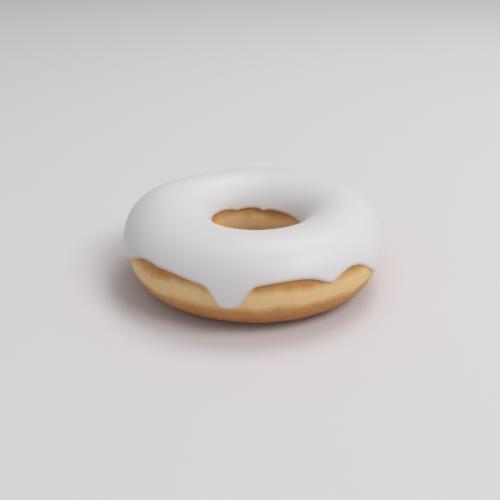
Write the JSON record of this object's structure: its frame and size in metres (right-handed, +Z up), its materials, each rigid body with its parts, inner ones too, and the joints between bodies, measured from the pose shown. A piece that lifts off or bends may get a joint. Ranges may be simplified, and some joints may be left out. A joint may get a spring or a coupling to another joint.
{
  "type": "ring doughnut",
  "caption": "Round ring doughnut of fried dough with a draped layer of icing that runs down its sides in tongues and scallops into the hole.",
  "frame": {"origin": "centre of the bounding box, on the surface that the doughnut stands on", "axes": "+Z up, through the hole; +X and +Y across the ring"},
  "size_m": [0.09, 0.093, 0.0279],
  "materials": {
    "dough": "matt fried dough, golden, with a paler band round its waist",
    "icing": "smooth satin sugar icing, off-white"
  },
  "bodies": {
    "root": {"dough": "dough", "icing": "icing"}
  },
  "joints": []
}
